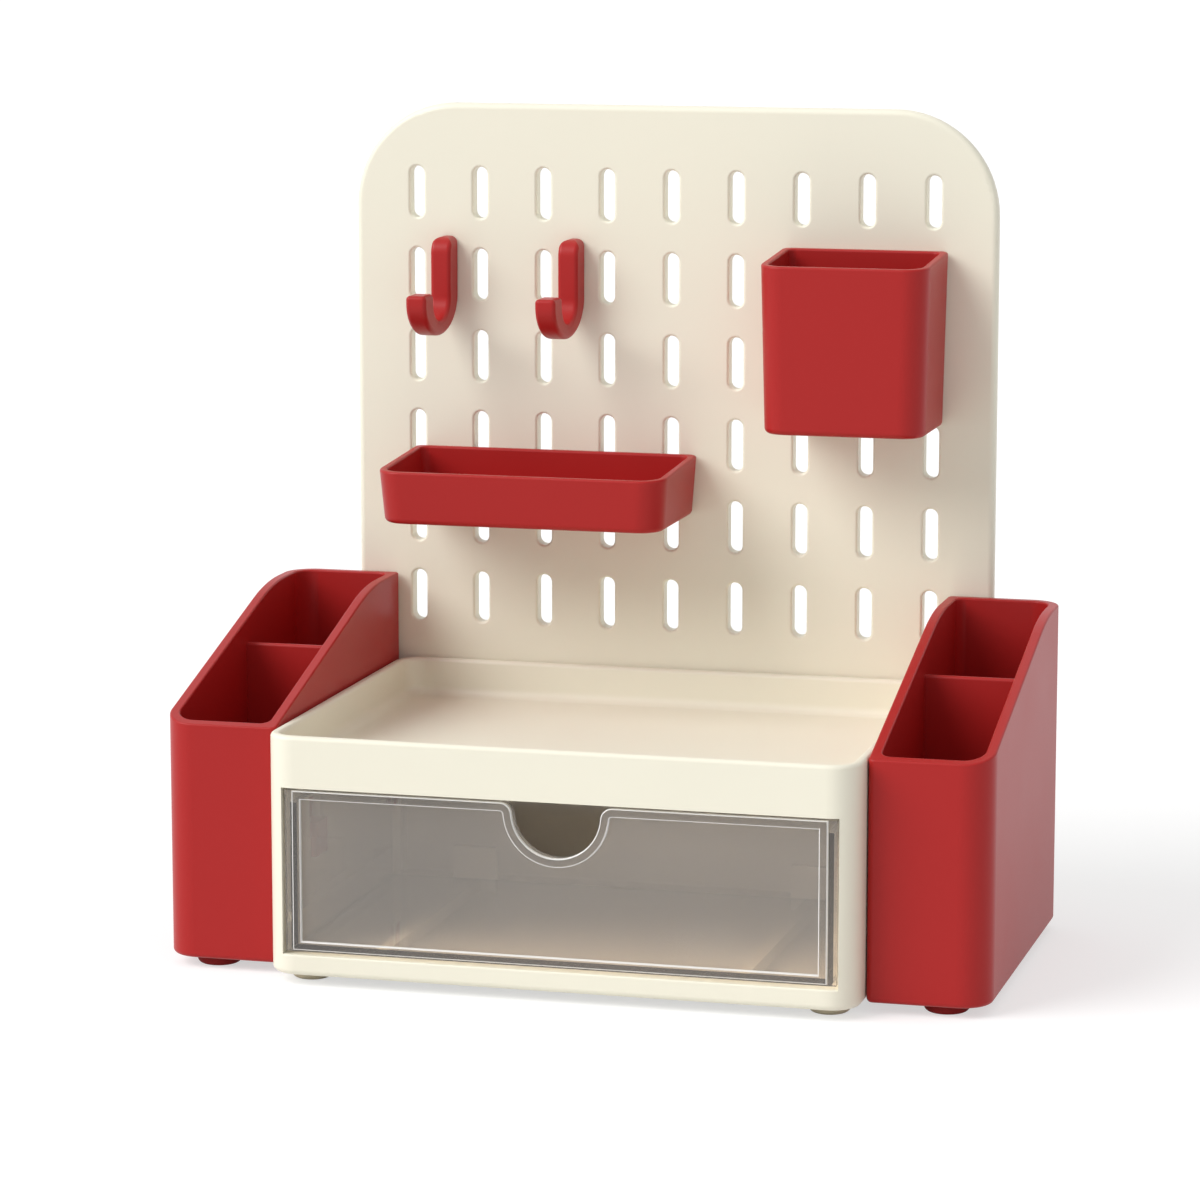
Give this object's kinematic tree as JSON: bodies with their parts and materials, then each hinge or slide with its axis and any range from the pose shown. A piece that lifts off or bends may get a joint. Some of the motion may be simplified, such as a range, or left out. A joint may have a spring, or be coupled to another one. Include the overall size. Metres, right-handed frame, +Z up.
{
  "type": "pegboard desk organizer",
  "caption": "Desk organizer: low case with a clear drawer and top tray, slotted board behind it, side pen cups, and a small cup, a shelf and hooks that hang from the board.",
  "frame": {"origin": "on the desk, under the middle of the bounding box", "axes": "+Z up, -Y towards the user, where the drawer opens, +X to the user's right"},
  "size_m": [0.253, 0.152, 0.255],
  "materials": {
    "cream_plastic": "satin moulded cream plastic",
    "red_plastic": "satin moulded red plastic",
    "smoke_plastic": "clear smoke-tinted plastic",
    "cream_rubber": "cream rubber",
    "red_rubber": "red rubber"
  },
  "bodies": {
    "case": {"case_body": "cream_plastic", "tray_top": "cream_plastic", "case_foot_front_left": "cream_rubber", "case_foot_back_left": "cream_rubber", "case_foot_front_right": "cream_rubber", "case_foot_back_right": "cream_rubber"},
    "drawer": {"drawer": "smoke_plastic"},
    "board": {"pegboard": "cream_plastic"},
    "pen_cup_left": {"pen_cup_left": "red_plastic", "cup_foot_front_left": "red_rubber", "cup_foot_back_left": "red_rubber"},
    "pen_cup_right": {"pen_cup_right": "red_plastic", "cup_foot_front_right": "red_rubber", "cup_foot_back_right": "red_rubber"},
    "small_cup": {"small_cup": "red_plastic"},
    "shelf": {"shelf": "red_plastic"},
    "hook_left": {"hook_left": "red_plastic"},
    "hook_right": {"hook_right": "red_plastic"}
  },
  "joints": [
    {"name": "drawer_slide", "type": "slide", "parent": "case", "child": "drawer", "axis": [0, -1, 0], "range_m": [0, 0.08]},
    {"name": "board_lift", "type": "slide", "parent": "case", "child": "board", "axis": [0, 0, 1], "range_m": [0, 0.035]},
    {"name": "pen_cup_left_lift", "type": "slide", "parent": "case", "child": "pen_cup_left", "axis": [0, 0, 1], "range_m": [0, 0.007]},
    {"name": "pen_cup_right_lift", "type": "slide", "parent": "case", "child": "pen_cup_right", "axis": [0, 0, 1], "range_m": [0, 0.007]},
    {"name": "small_cup_lift", "type": "slide", "parent": "board", "child": "small_cup", "axis": [0, 0, 1], "range_m": [0, 0.007]},
    {"name": "shelf_lift", "type": "slide", "parent": "board", "child": "shelf", "axis": [0, 0, 1], "range_m": [0, 0.007]},
    {"name": "hook_left_lift", "type": "slide", "parent": "board", "child": "hook_left", "axis": [0, 0, 1], "range_m": [0, 0.0068]},
    {"name": "hook_right_lift", "type": "slide", "parent": "board", "child": "hook_right", "axis": [0, 0, 1], "range_m": [0, 0.0068]}
  ]
}
